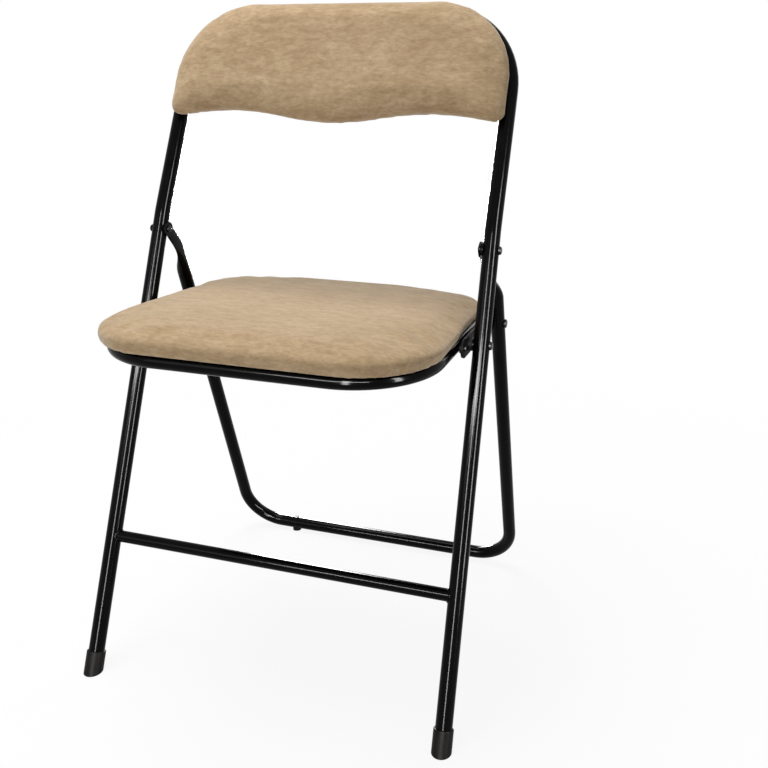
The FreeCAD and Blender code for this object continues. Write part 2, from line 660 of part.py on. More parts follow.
def pad_outline(inset, out):
    """Rounded top, straight sides and a lower edge that dips in the middle."""
    half_width = size("frame_half_width") + size("pad_overhang") - inset
    top = size("pad_top_rise") - inset
    bottom = size("pad_top_rise") - size("pad_height") + inset
    crest = half_width * size("pad_wave_share")
    swing = size("pad_wave_height")
    wave_r = ((crest / 2) ** 2 + (swing / 2) ** 2) / swing
    slope = math.asin(crest / 2 / wave_r)
    knee = V(1.5 * crest, bottom + swing / 2)
    toe_r = (half_width - knee.x) / (1 + math.sin(slope))
    toe = knee + V(toe_r * math.sin(slope), toe_r * math.cos(slope))
    toe_turn = math.radians(QUARTER_TURN) / 2 - slope / 2
    toe_mid = toe + V(toe_r * math.sin(toe_turn), -toe_r * math.cos(toe_turn))
    crown_r = size("pad_corner_radius") - inset
    shoulder = V(half_width - crown_r, top - crown_r)
    diagonal = crown_r * math.sqrt(0.5)

    def place(point, side=1):
        return back_place(side * point.x, point.y, out)

    dip = [V(-crest / 2, bottom + swing / 2), V(0, bottom), V(crest / 2, bottom + swing / 2)]
    edges = [Part.Arc(*[place(point) for point in dip]).toShape()]
    half = [Part.Arc(place(dip[2]), place(V(crest, bottom + swing)), place(knee)),
            Part.Arc(place(knee), place(toe_mid), place(V(half_width, toe.y))),
            Part.LineSegment(place(V(half_width, toe.y)), place(V(half_width, shoulder.y))),
            Part.Arc(place(V(half_width, shoulder.y)), place(shoulder + V(diagonal, diagonal)),
                     place(V(shoulder.x, top)))]
    edges += [curve.toShape() for curve in half]
    edges.append(Part.LineSegment(place(V(shoulder.x, top)), place(V(shoulder.x, top), -1)).toShape())
    mirror_half = [edge.mirror(V(0, 0, 0), V(1, 0, 0)) for edge in edges[1:5]]
    return Part.Wire(Part.__sortEdges__(edges + mirror_half))


def pad_form(inset, base_drop):
    sections = [pad_outline(level_inset + inset,
                            pad_back + share * size("pad_thick") - (inset if share else base_drop))
                for share, level_inset in pad_levels]
    return Part.makeLoft(sections, True, True)


back_board_inset = size("pad_tuck") + size("cover_thick") + size("soft_gap")
back_board = Part.Face(pad_outline(back_board_inset, pad_back)).extrude(back_out * size("back_board_thick"))
foam_back = back_place(0, -size("pad_height") / 2, pad_back + size("back_board_thick") + size("soft_gap"))

# Lugs welded inside the hoop, which the pad's board is screwed to from behind.
lug_turns = [(V(side * size("frame_half_width"), -size("side_lug_drop"), 0), V(-side, 0, 0))
             for side in (1, -1)]
top_lug_x = size("frame_half_width") - size("hoop_radius") - size("top_lug_inset")
lug_turns += [(V(side * top_lug_x, 0, 0), V(0, -1, 0)) for side in (1, -1)]
frame_hull = frame_path.makePipeShell(
    [Part.Wire([Part.Circle(frame_half[0], leg_axis, tube_r + size("weld_gap")).toShape()])], True, False)
lug_out = tube_r - size("lug_thick")
lugs = []
back_screws = []
screw_inset = tube_r + size("lug_length") / 2
back_screw_length = size("lug_thick") + size("weld_gap") + size("back_screw_bite")
for count, (root, inward) in enumerate(lug_turns, start=1):
    start = back_place(root.x, root.y, lug_out)
    inward_place = V(inward.x, 0, 0) + back_up * inward.y
    sideways = back_out.cross(inward_place)
    corner = start - sideways * (size("lug_width") / 2)
    reach = tube_r + size("lug_length")
    lug = Part.Face(Part.makePolygon([corner, corner + inward_place * reach,
                                      corner + inward_place * reach + sideways * size("lug_width"),
                                      corner + sideways * size("lug_width"), corner]))
    lug = lug.extrude(back_out * size("lug_thick")).cut(frame_hull)
    place = start + inward_place * screw_inset
    lug = drill(lug, screw_hole_r, place, back_out, size("lug_thick"))
    lugs.append(solid(f"lug{count}", lug))
    back_board = drill(back_board, screw_hole_r, place, back_out, back_screw_length + size("fixed_clearance"))
    back_screws.append(screw(f"back_screw{count}", back_screw_length,
                             Placement(place, Rotation(V(0, 0, 1), back_out))))
group("backrest_lugs", lugs)
group("backrest_screws", back_screws)
node("backrest_board", solid("backrest_board", back_board))
pad_hollow = pad_form(size("cover_thick"), size("cover_thick"))
node("backrest_cover", solid("backrest_cover", pad_form(0, 0).cut(pad_hollow)))
node("backrest_foam", solid("backrest_foam", beyond(pad_form(foam_inset, 0), foam_back, back_out)))

doc.recompute()
for piece in doc.Objects:
    if "Invalid" in piece.State or "Error" in piece.State:
        raise RuntimeError(f"{piece.Label} failed: {piece.State}")
for label, piece in nodes.items():
    if piece.Shape.isNull() or not piece.Shape.isValid():
        raise RuntimeError(f"{label} has no valid shape")

os.makedirs("parts", exist_ok=True)
for label, piece in nodes.items():
    piece.Shape.exportStep(f"parts/{label}.step")
    box = piece.Shape.BoundBox
    print(f"{label}: {len(piece.Shape.Solids)} solids, volume {piece.Shape.Volume:.0f},"
          f" x {box.XMin:.1f} {box.XMax:.1f}, y {box.YMin:.1f} {box.YMax:.1f},"
          f" z {box.ZMin:.1f} {box.ZMax:.1f}")
print(f"leg swing {leg_swing:.2f}, seat swing {seat_swing:.2f}")
print(f"leg pivot {leg_pivot}, seat pivot {seat_pivot}")
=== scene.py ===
# %% [markdown]
# # A folding chair with velvet pads
# The chair is a bent black tube frame with a padded seat and a padded back. The engineering model already
# holds every tube, rivet and board at its true size, so this lesson doesn't draw them again: it loads them
# as a fixed frame, gives them their finishes, and makes what such a model can't show, the soft velvet.
# Everything is in metres, the front of the chair looks along -Y and the floor is at height zero.

# %% Load the chair's frame
import bpy
import bmesh
import math
from mathutils import Euler, Matrix, Vector
from mathutils.kdtree import KDTree


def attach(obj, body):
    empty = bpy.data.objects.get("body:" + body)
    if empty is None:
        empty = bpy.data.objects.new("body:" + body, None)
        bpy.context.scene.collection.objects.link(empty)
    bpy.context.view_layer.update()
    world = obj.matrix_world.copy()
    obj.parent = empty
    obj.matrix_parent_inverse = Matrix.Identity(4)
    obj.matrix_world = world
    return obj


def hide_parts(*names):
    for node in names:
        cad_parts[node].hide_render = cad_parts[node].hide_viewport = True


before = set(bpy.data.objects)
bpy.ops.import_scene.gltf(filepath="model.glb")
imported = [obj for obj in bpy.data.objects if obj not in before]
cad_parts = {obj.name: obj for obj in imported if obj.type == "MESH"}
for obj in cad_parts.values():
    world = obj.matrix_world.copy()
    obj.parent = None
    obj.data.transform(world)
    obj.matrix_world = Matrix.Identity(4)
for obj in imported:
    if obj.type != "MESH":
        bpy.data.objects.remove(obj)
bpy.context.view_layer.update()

# %% [markdown]
# ## The camera
# A product picture is usually taken a little from the side and a little from above, and then cropped. The
# crop is why the chair leaves the middle of the picture, so the camera here has a shift. A large one would
# push the chair out of the frame in every other view, so the shift stays small, and the camera is turned
# down for the rest of the way, which bends the legs' perspective by a few pixels only.

# %% Stand the camera where the picture was taken
IMAGE_SIDE = 768
SENSOR = 36.0
FOCAL_PIXELS = 889.1
CAMERA_PLACE = Vector((0.4328, -0.9700, 0.7033))
CAMERA_TURN = 17.03
CAMERA_DOWN = 14.27
CAMERA_ROLL = 0.54
SHIFT_ACROSS = -0.0500
SHIFT_DOWN = -0.1050

camera_data = bpy.data.cameras.new("picture_camera")
camera_data.sensor_width = SENSOR
camera_data.lens = FOCAL_PIXELS / IMAGE_SIDE * SENSOR
camera_data.shift_x = SHIFT_ACROSS
camera_data.shift_y = SHIFT_DOWN
camera_data.clip_start = 0.05
camera = bpy.data.objects.new("picture_camera", camera_data)
camera.location = CAMERA_PLACE
level_turn = Euler((math.radians(90 - CAMERA_DOWN), 0, math.radians(CAMERA_TURN))).to_matrix()
camera.rotation_euler = (level_turn @ Matrix.Rotation(math.radians(CAMERA_ROLL), 3, "Z")).to_euler()
bpy.context.collection.objects.link(camera)
bpy.context.scene.camera = camera
print(f"camera: lens {camera_data.lens:.2f} mm, shift {camera_data.shift_x:.4f} {camera_data.shift_y:.4f}")

# %% [markdown]
# ## Helpers for finishes
# A finish is a small network of nodes. Most of ours are the same idea: a noise pattern, a ramp that turns
# it into two or three tones, and a bump from a finer noise. Six small helpers make those, so that each
# finish below reads as a short recipe. The patterns use object coordinates, which move with the piece when
# the chair folds and need no unwrapping.

# %% Small helpers that make node recipes
def new_finish(name):
    """A material with an empty recipe: its nodes, its links and its Principled shader."""
    finish = bpy.data.materials.new(name)
    finish.use_nodes = True
    tree = finish.node_tree
    shader = tree.nodes["Principled BSDF"]
    return finish, tree, shader


def pattern(tree, scale, detail=4.0, stretch=(1, 1, 1), rough=0.55, swirl=0.0):
    """A noise of so many waves per metre, stretched along the axes and swirled."""
    coords = tree.nodes.new("ShaderNodeTexCoord")
    mapping = tree.nodes.new("ShaderNodeMapping")
    mapping.inputs["Scale"].default_value = stretch
    clouds = tree.nodes.new("ShaderNodeTexNoise")
    clouds.inputs["Scale"].default_value = scale
    clouds.inputs["Detail"].default_value = detail
    clouds.inputs["Roughness"].default_value = rough
    clouds.inputs["Distortion"].default_value = swirl
    tree.links.new(coords.outputs["Object"], mapping.inputs["Vector"])
    tree.links.new(mapping.outputs["Vector"], clouds.inputs["Vector"])
    return clouds.outputs["Fac"]


def tones(tree, source, stops):
    """Turn a 0 to 1 pattern into colours: (place, (red, green, blue)) stops."""
    ramp = tree.nodes.new("ShaderNodeValToRGB")
    elements = ramp.color_ramp.elements
    while len(elements) < len(stops):
        elements.new(0.5)
    for element, (place, colour) in zip(elements, stops):
        element.position = place
        element.color = (*colour, 1)
    tree.links.new(source, ramp.inputs["Fac"])
    return ramp.outputs["Color"]


def spread(tree, source, low, high):
    """Turn a pattern's middle range into numbers from low to high."""
    remap = tree.nodes.new("ShaderNodeMapRange")
    remap.inputs["From Min"].default_value = 0.3
    remap.inputs["From Max"].default_value = 0.7
    remap.inputs["To Min"].default_value = low
    remap.inputs["To Max"].default_value = high
    tree.links.new(source, remap.inputs["Value"])
    return remap.outputs["Result"]


def blend_tones(tree, kind, amount, first, second):
    """Lay one colour over another, as layers of a drawing do."""
    mix = tree.nodes.new("ShaderNodeMix")
    mix.data_type = "RGBA"
    mix.blend_type = kind
    mix.inputs["Factor"].default_value = amount
    tree.links.new(first, mix.inputs["A"])
    tree.links.new(second, mix.inputs["B"])
    return mix.outputs["Result"]


def relief(tree, source, height, after=None):
    """A bump from a pattern, added on top of an earlier bump."""
    bump = tree.nodes.new("ShaderNodeBump")
    bump.inputs["Distance"].default_value = height
    tree.links.new(source, bump.inputs["Height"])
    if after:
        tree.links.new(after, bump.inputs["Normal"])
    return bump.outputs["Normal"]


print("finish helpers: new_finish, pattern, tones, spread, blend_tones, relief")

# %% [markdown]
# ## Gloss black paint
# The tubes are stoved with a black gloss enamel. Such paint is almost a black mirror: what you see of it
# is mostly the lamps, as long thin lines down each tube. It still isn't perfect, so a slow noise changes
# its gloss a little and a fine one gives the skin of an orange. The colour varies only in the darkest tones.

# %% Black enamel
def make_black_enamel():
    finish, tree, shader = new_finish("gloss_black_paint")
    film = pattern(tree, 60, detail=3)
    colour = tones(tree, film, [(0.3, (0.0012, 0.0011, 0.0011)), (0.7, (0.003, 0.0028, 0.0028))])
    gloss = spread(tree, pattern(tree, 25, detail=5), 0.10, 0.15)
    skin = relief(tree, pattern(tree, 90, detail=1), 0.00001)
    tree.links.new(colour, shader.inputs["Base Color"])
    tree.links.new(gloss, shader.inputs["Roughness"])
    tree.links.new(skin, shader.inputs["Normal"])
    shader.inputs["Specular IOR Level"].default_value = 0.05
    return finish


black_enamel = make_black_enamel()
print("made", black_enamel.name)

# %% [markdown]
# ## Blackened steel, satin paint, cap plastic and nylon
# Rivets, pins and screws are steel with a thin black oxide, so they shine in a duller, warmer way than the
# paint, with fine turning marks. The small plates and lugs have a thin satin coat. The foot caps and glides
# are moulded plastic with a fine grain, and the washers and bushes between moving pieces are nylon. All are
# dark, and tell themselves apart by how they shine, so each gets its own roughness pattern.

# %% Steel, plastic and nylon
def make_dark_steel():
    finish, tree, shader = new_finish("dark_steel")
    marks = pattern(tree, 300, detail=6, stretch=(0.15, 1, 1))
    colour = tones(tree, marks, [(0.3, (0.007, 0.0067, 0.0067)), (0.7, (0.017, 0.0164, 0.016))])
    tree.links.new(colour, shader.inputs["Base Color"])
    tree.links.new(spread(tree, marks, 0.24, 0.42), shader.inputs["Roughness"])
    tree.links.new(relief(tree, marks, 0.00005), shader.inputs["Normal"])
    shader.inputs["Metallic"].default_value = 0.9
    return finish


def make_moulded(name, dark, light, rough_low, rough_high):
    finish, tree, shader = new_finish(name)
    grain = pattern(tree, 700, detail=3)
    clouds = pattern(tree, 45, detail=4)
    colour = tones(tree, clouds, [(0.3, dark), (0.7, light)])
    tree.links.new(colour, shader.inputs["Base Color"])
    tree.links.new(spread(tree, clouds, rough_low, rough_high), shader.inputs["Roughness"])
    tree.links.new(relief(tree, grain, 0.00012), shader.inputs["Normal"])
    shader.inputs["Specular IOR Level"].default_value = 0.04
    return finish


dark_steel = make_dark_steel()
satin_black = make_moulded("satin_black_paint", (0.004, 0.004, 0.004), (0.008, 0.0078, 0.0076), 0.45, 0.6)
cap_plastic = make_moulded("cap_plastic", (0.008, 0.0068, 0.0062), (0.017, 0.0145, 0.0135), 0.36, 0.5)
nylon = make_moulded("nylon", (0.012, 0.012, 0.012), (0.022, 0.0215, 0.021), 0.42, 0.55)
print("made", dark_steel.name, satin_black.name, cap_plastic.name, nylon.name)

# %% [markdown]
# ## Hardboard and foam
# Under the velvet each pad has a pressed-fibre board, whose brown back shows from below and behind, and a
# block of foam that stays hidden. Fibre board is flecked: short fibres lie in every direction, so one noise
# is stretched along X and another along Y, and their product gives crossed flecks.

# %% Board and foam
def make_hardboard():
    finish, tree, shader = new_finish("hardboard")
    flecks = [pattern(tree, 260, detail=5, stretch=way) for way in ((0.18, 1, 1), (1, 0.18, 0.4))]
    fibre_tones = [(0.3, (0.13, 0.078, 0.042)), (0.7, (0.30, 0.195, 0.115))]
    layers = [tones(tree, fleck, fibre_tones) for fleck in flecks]
    tree.links.new(blend_tones(tree, "OVERLAY", 0.6, *layers), shader.inputs["Base Color"])
    tree.links.new(spread(tree, flecks[0], 0.62, 0.82), shader.inputs["Roughness"])
    tree.links.new(relief(tree, flecks[1], 0.0002), shader.inputs["Normal"])
    shader.inputs["Specular IOR Level"].default_value = 0.02
    return finish


def make_foam():
    finish, tree, shader = new_finish("foam")
    cells = pattern(tree, 900, detail=2)
    colour = tones(tree, cells, [(0.35, (0.55, 0.48, 0.30)), (0.65, (0.82, 0.76, 0.56))])
    tree.links.new(colour, shader.inputs["Base Color"])
    tree.links.new(relief(tree, cells, 0.0006), shader.inputs["Normal"])
    shader.inputs["Roughness"].default_value = 0.95
    shader.inputs["Specular IOR Level"].default_value = 0.02
    return finish


hardboard = make_hardboard()
foam = make_foam()
print("made", hardboard.name, foam.name)

# %% [markdown]
# ## Velvet
# Velvet is a forest of short upright hairs. Where hands have brushed them they lie over and look lighter or
# darker, which gives the soft streaks and clouds on the pads; close up it has a fine mottled grain. Seen
# along its surface the hair tips catch light, and the Principled shader's sheen does that. The streaks are
# longer across the chair than along it, so their noise is stretched.

# %% Beige velvet
def make_velvet(name, shadow_tone, body_tone, tip_tone):
    finish, tree, shader = new_finish(name)
    brushed = pattern(tree, 105, detail=6, stretch=(0.4, 1, 1), rough=0.66, swirl=0.4)
    clouds = pattern(tree, 17, detail=6, stretch=(0.7, 1, 1), swirl=0.5)
    grain = pattern(tree, 330, detail=4, stretch=(0.4, 1, 1), rough=0.7)
    fibre = pattern(tree, 1500, detail=2)
    colour = tones(tree, brushed, [(0.34, shadow_tone), (0.5, body_tone), (0.66, tip_tone)])
    cloud_tone = tones(tree, clouds, [(0.34, (0.89, 0.87, 0.83)), (0.62, (1.0, 1.0, 1.0))])
    grain_tone = tones(tree, grain, [(0.36, (0.78, 0.765, 0.735)), (0.6, (1.0, 1.0, 1.0))])
    colour = blend_tones(tree, "MULTIPLY", 0.9, colour, cloud_tone)
    colour = blend_tones(tree, "MULTIPLY", 0.9, colour, grain_tone)
    pile = relief(tree, fibre, 0.0002)
    pile = relief(tree, brushed, 0.0004, after=pile)
    tree.links.new(colour, shader.inputs["Base Color"])
    tree.links.new(spread(tree, brushed, 0.82, 0.95), shader.inputs["Roughness"])
    tree.links.new(pile, shader.inputs["Normal"])
    shader.inputs["Specular IOR Level"].default_value = 0.0
    shader.inputs["Sheen Weight"].default_value = 0.5
    shader.inputs["Sheen Roughness"].default_value = 0.4
    shader.inputs["Sheen Tint"].default_value = (1.0, 0.96, 0.9, 1)
    return finish


velvet = make_velvet("beige_velvet", (0.43, 0.303, 0.178), (0.49, 0.356, 0.217), (0.545, 0.407, 0.258))
# The hems' cloth: the same velvet recipe, at about a third of its tones.
velvet_back = make_velvet("velvet_back", (0.13, 0.09, 0.055), (0.17, 0.12, 0.075), (0.21, 0.155, 0.10))
print("made", velvet.name, velvet_back.name)

# %% [markdown]
# ## Dress the frame
# Each node of the engineering model keeps its shape, and only its material slots change. The list below
# pairs every node with its finish, in the order in which you would paint the real chair: tubes first, then
# the small hardware, then the boards.

# %% Give each node its finish
NODE_FINISH = {
    black_enamel: ["front_frame_tube", "front_crossbar", "rear_leg_tube", "seat_frame_tube"],
    satin_black: ["backrest_lugs", "seat_side_plate_left", "seat_side_plate_right", "side_plate_spacers"],
    dark_steel: ["leg_pivot_rivets", "seat_pivot_rivets", "slide_pins", "backrest_screws",
                 "seat_board_screws", "side_plate_screws"],
    cap_plastic: ["front_foot_cap_left", "front_foot_cap_right", "rear_glide_left", "rear_glide_right"],
    nylon: ["leg_pivot_washers", "slide_pin_collars", "seat_pivot_bushes"],
    hardboard: ["seat_board", "backrest_board"],
    foam: ["seat_foam", "backrest_foam"],
    velvet: ["seat_cover", "backrest_cover"],
}
for finish, names in NODE_FINISH.items():
    for name in names:
        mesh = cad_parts[name].data
        mesh.materials.clear()
        mesh.materials.append(finish)
print("dressed", sum(len(names) for names in NODE_FINISH.values()), "of", len(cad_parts), "nodes")

# %% [markdown]
# ## Outlines for the pads
# Both pads start as a flat outline with rounded corners. A loop of evenly spaced points is handier than a
# curve object, because the same points can be pulled inwards and stacked to make a crowned form. The seat's
# outline is a rounded trapezium, wider in front. The back's outline has a rounded top and a waved lower
# edge, which dips in the middle and again at the two ends.

# %% Even loops from rounded corners
def even_loop(path, count):
    """The same closed path, as so many points at even spacing."""
    closed = path + [path[0]]
    walked = [0.0]
    for before, after in zip(closed, closed[1:]):
        walked.append(walked[-1] + (after - before).length)
    loop = []
    leg = 0
    for index in range(count):
        target = walked[-1] * index / count
        while walked[leg + 1] < target:
            leg += 1
        share = (target - walked[leg]) / (walked[leg + 1] - walked[leg])
        loop.append(closed[leg].lerp(closed[leg + 1], share))
    return loop


def corner_arc(before, corner, after, radius, steps=14):
    """Points of the arc that rounds one corner."""
    back = (before - corner).normalized()
    ahead = (after - corner).normalized()
    half = back.angle(ahead) / 2
    centre = corner + (back + ahead).normalized() * (radius / math.sin(half))
    start = corner + back * (radius / math.tan(half)) - centre
    end = corner + ahead * (radius / math.tan(half)) - centre
    return [centre + start.lerp(end, step / steps).normalized() * radius for step in range(steps + 1)]


def rounded_loop(corners, radii, count):
    path = []
    for index, (corner, radius) in enumerate(zip(corners, radii)):
        path += corner_arc(corners[index - 1], corner, corners[(index + 1) % len(corners)], radius)
    return even_loop(path, count)


SEAT_FRONT_Y = -0.216
SEAT_REAR_Y = 0.127
SEAT_FRONT_HALF = 0.2028
SEAT_REAR_HALF = 0.189
SEAT_FRONT_ROUND = 0.090
SEAT_REAR_ROUND = 0.074


def seat_loop(inset, count=240):
    """The seat's outline, seen from above, drawn in by an inset."""
    front = SEAT_FRONT_HALF - inset
    rear = SEAT_REAR_HALF - inset
    corners = [Vector((rear, SEAT_REAR_Y - inset)), Vector((front, SEAT_FRONT_Y + inset)),
               Vector((-front, SEAT_FRONT_Y + inset)), Vector((-rear, SEAT_REAR_Y - inset))]
    rounds = [SEAT_REAR_ROUND, SEAT_FRONT_ROUND, SEAT_FRONT_ROUND, SEAT_REAR_ROUND]
    return rounded_loop(corners, [radius - inset / 2 for radius in rounds], count)


print("seat outline:", len(seat_loop(0)), "points")

# %% [markdown]
# ## The back pad's outline
# The wave along the lower edge is one cosine across the middle that flattens into the two lower corners.
# It is written as a height above the lowest line for each distance from the middle, so the same formula
# serves every inset.

# %% The waved outline of the back pad
PAD_HALF = 0.216
PAD_TOP = 0.002
PAD_FOOT = -0.153
WAVE_HEIGHT = 0.014
CREST_X = 0.131
SHOULDER = 0.098
TOE = 0.012
WAVE_STEPS = 60
TOE_STEPS = 12
SHOULDER_STEPS = 24


def wave(across):
    """Height of the lower edge above its lowest line, at a distance from the middle."""
    return WAVE_HEIGHT * (1 - math.cos(math.pi * across / CREST_X)) / 2


def pad_loop(inset, count=280):
    """The back pad's outline in its own plane: across, and up from the top of the hoop."""
    half = PAD_HALF - inset
    top = PAD_TOP - inset
    foot = PAD_FOOT + inset
    shrink = half / PAD_HALF
    shoulder = SHOULDER - inset
    right = []
    for step in range(WAVE_STEPS + 1):
        across = (half - TOE) * step / WAVE_STEPS
        right.append(Vector((across, foot + wave(across / shrink))))
    toe_top = right[-1].y + TOE
    for step in range(1, TOE_STEPS + 1):
        turn = math.radians(90 * step / TOE_STEPS)
        right.append(Vector((half - TOE + TOE * math.sin(turn), toe_top - TOE * math.cos(turn))))
    for step in range(SHOULDER_STEPS + 1):
        turn = math.radians(90 * step / SHOULDER_STEPS)
        right.append(Vector((half - shoulder + shoulder * math.cos(turn),
                             top - shoulder + shoulder * math.sin(turn))))
    left = [Vector((-point.x, point.y)) for point in reversed(right[1:])]
    return even_loop(right + left, count)


print("back outline:", len(pad_loop(0)), "points")

# %% [markdown]
# ## Stack the loops into a crowned form
# A pad isn't a slab: its edge is drawn in where the fabric is pulled under the board, its side bulges, and
# its face is crowned. So each loop gets a height and an inset, the loops are joined by strips of faces,
# and two caps close the form. Blender's skinning modifiers could do this too, but a strip of quads between
# two loops is easy to see through and always closes.

# %% Closed form from stacked loops
def stacked_form(name, loops, place):
    """Mesh object through loops of flat points; place turns a flat point and a height into a 3-D point."""
    build = bmesh.new()
    rings = [[build.verts.new(place(point, height)) for point in loop] for loop, height in loops]
    for lower, upper in zip(rings, rings[1:]):
        for index in range(len(lower)):
            following = (index + 1) % len(lower)
            build.faces.new((lower[index], lower[following], upper[following], upper[index]))
    build.faces.new(list(reversed(rings[0])))
    build.faces.new(rings[-1])
    bmesh.ops.recalc_face_normals(build, faces=build.faces)
    mesh = bpy.data.meshes.new(name)
    build.to_mesh(mesh)
    build.free()
    piece = bpy.data.objects.new(name, mesh)
    bpy.context.collection.objects.link(piece)
    return piece


def remeshed(piece, voxel):
    """Replace a piece's mesh by an even net of squares, fit for cloth."""
    remesh = piece.modifiers.new("net", "REMESH")
    remesh.mode = "VOXEL"
    remesh.voxel_size = voxel
    graph = bpy.context.evaluated_depsgraph_get()
    net = bpy.data.meshes.new_from_object(piece.evaluated_get(graph))
    piece.modifiers.clear()
    piece.data = net
    return piece


print("form helpers: stacked_form, remeshed")

# %% [markdown]
# ## Let the cover swell over its foam
# Real upholstery is a flat sheet pulled over foam, and the foam pushes it out. Cloth with pressure does the
# same: the rim that is stapled under the board is pinned, gravity is off, and twenty frames are enough to
# swell. The movement of each point is then limited, so that a soft spot can't balloon past its neighbours,
# and the result is written into the mesh, so that no simulation is left on the piece.

# %% Swell by cloth pressure
SWELL_FRAMES = 20
SWELL_PRESSURE = 2.0
SWELL_MOST = 0.003
STAPLED_HEIGHT = 0.008
SOFTEN_ROUNDS = 3


def soften(mesh, rounds):
    """Even out a net, each point halfway towards the middle of its neighbours."""
    work = bmesh.new()
    work.from_mesh(mesh)
    for _ in range(rounds):
        bmesh.ops.smooth_vert(work, verts=work.verts, factor=0.5,
                              use_axis_x=True, use_axis_y=True, use_axis_z=True)
    work.to_mesh(mesh)
    work.free()


def swell(piece, is_pinned):
    """Cloth pressure on a closed piece, with pinned points and a limit on each point's move."""
    mesh = piece.data
    rest = [vertex.co.copy() for vertex in mesh.vertices]
    pins = piece.vertex_groups.new(name="stapled")
    pins.add([index for index, point in enumerate(rest) if is_pinned(point)], 1.0, "REPLACE")
    cloth = piece.modifiers.new("swell", "CLOTH")
    settings = cloth.settings
    settings.quality = 6
    settings.mass = 0.35
    settings.tension_stiffness = 18
    settings.compression_stiffness = 18
    settings.shear_stiffness = 6
    settings.bending_stiffness = 1.5
    settings.vertex_group_mass = pins.name
    settings.use_pressure = True
    settings.uniform_pressure_force = SWELL_PRESSURE
    settings.effector_weights.gravity = 0
    scene = bpy.context.scene
    for step in range(1, SWELL_FRAMES + 1):
        scene.frame_set(step)
    graph = bpy.context.evaluated_depsgraph_get()
    moved = [vertex.co.copy() for vertex in piece.evaluated_get(graph).data.vertices]
    piece.modifiers.clear()
    piece.vertex_groups.clear()
    scene.frame_set(1)
    furthest = 0.0
    for vertex, before, after in zip(mesh.vertices, rest, moved):
        move = after - before
        furthest = max(furthest, move.length)
        if move.length > SWELL_MOST:
            move *= SWELL_MOST / move.length
        vertex.co = before + move
    soften(mesh, SOFTEN_ROUNDS)
    return furthest


print("swell helper ready for", SWELL_FRAMES, "frames")

# %% [markdown]
# ## Pull the rim tight
# Upholstery is sharpest where the fabric is drawn over the board's edge. The even net can't follow a thin
# edge, so after the swelling each point of the lower side is moved onto the true outline, and the underside
# is lifted into the board, which leaves a narrow velvet lip around it. Round the corners there is more
# fabric than edge, so it is gathered there, as small soft pleats. Heights are shares of the pad's rise.

# %% Find the outline and pull the rim
PLEAT = 0.021
PLEAT_DEPTH = 0.0006
PLEATED_RADIUS = 0.08
SIDE_SHARE = 0.38
RIM_DEPTH = 0.016
RIM_FADE = 0.004
HELD_SHARE = 0.6
HELD_FADE = 0.25
UNDER_SHARE = 0.1
LIP_DROP = 0.0004
LIP_FADE = 0.003
BOARD_LIFT = 0.0034


def limited(value):
    """The value, kept between 0 and 1."""
    return min(1.0, max(0.0, value))


def outline_finder(loop):
    """A function that gives a flat point's depth inside an outline, the way in, and the pleat's height."""
    tree = KDTree(len(loop))
    middle = sum(loop, Vector((0, 0))) / len(loop)
    gap = (loop[1] - loop[0]).length
    inwards = []
    pleats = []
    for index, point in enumerate(loop):
        tree.insert(point.to_3d(), index)
        behind = point - loop[index - 1]
        ahead = loop[(index + 1) % len(loop)] - point
        inward = Vector((-(behind + ahead).y, (behind + ahead).x)).normalized()
        inwards.append(inward if inward.dot(middle - point) > 0 else -inward)
        bend = min(1.0, behind.angle(ahead) / gap * PLEATED_RADIUS)
        pleats.append(PLEAT_DEPTH * bend * math.sin(math.tau * index * gap / PLEAT))
    tree.balance()

    def depth_at(point):
        near, index, _ = tree.find(point.to_3d())
        return (point - near.to_2d()).dot(inwards[index]), inwards[index], pleats[index]

    return depth_at


def pull_rim(piece, loop, flatten, place, rise_at, tuck, board_inset):
    """Move the lower side onto its outline, and lift the underside into the board."""
    depth_at = outline_finder(loop)
    for vertex in piece.data.vertices:
        point, height = flatten(vertex.co)
        share = height / rise_at(point)
        depth, inward, pleat = depth_at(point)
        if depth < RIM_DEPTH:
            hold = limited((HELD_SHARE - share) / HELD_FADE) * limited((RIM_DEPTH - depth) / RIM_FADE)
            wanted = tuck * max(0.0, 1 - share / SIDE_SHARE) ** 2 + pleat
            if share > UNDER_SHARE or depth < tuck:
                point = point + inward * (wanted - depth) * hold
        if share < UNDER_SHARE:
            inside = limited((depth - board_inset) / LIP_FADE)
            height = BOARD_LIFT * inside - LIP_DROP
        vertex.co = place(point, height)


print("rim helpers: limited, outline_finder, pull_rim")

# %% [markdown]
# ## The seat pad
# The seat pad is about thirty millimetres thick in front and under twenty at the rear, and it lies on a
# ring of tube. Its front face is nearly upright and its top rolls over softly towards the middle. Heights
# are therefore shares of a rise that falls towards the rear. Only the lower side is pinned while it swells.

# %% Seat pad: stack, net, swell and rim
SEAT_BASE = 0.4201
SEAT_FRONT_RISE = 0.0288
SEAT_FALL = 0.0102
SEAT_NET = 0.0045
SEAT_TUCK = 0.004
SEAT_CROWN = 0.120
SEAT_ROLL = 1.7
SEAT_BOARD_INSET = 0.0055
CROWN_STEPS = 10
FULLER = 0.0015


def seat_rise(point):
    """How thick the seat pad is, at a place seen from above."""
    back = (point.y - SEAT_FRONT_Y) / (SEAT_REAR_Y - SEAT_FRONT_Y)
    return SEAT_FRONT_RISE - SEAT_FALL * back


def on_seat(point, height):
    return Vector((point.x, point.y, SEAT_BASE + height))


def off_seat(place):
    return place.to_2d(), place.z - SEAT_BASE


def crown_levels(tuck, crown, roll):
    """(share of the rise, inset) from the tucked edge up the side and over the crown."""
    levels = [(0.0, tuck), (SIDE_SHARE / 2, tuck / 4), (SIDE_SHARE, 0.0)]
    for step in range(1, CROWN_STEPS + 1):
        turn = math.radians(90 * step / CROWN_STEPS)
        share = SIDE_SHARE + (1 - SIDE_SHARE) * math.sin(turn)
        levels.append((share, crown * (1 - math.cos(turn)) ** roll))
    return levels


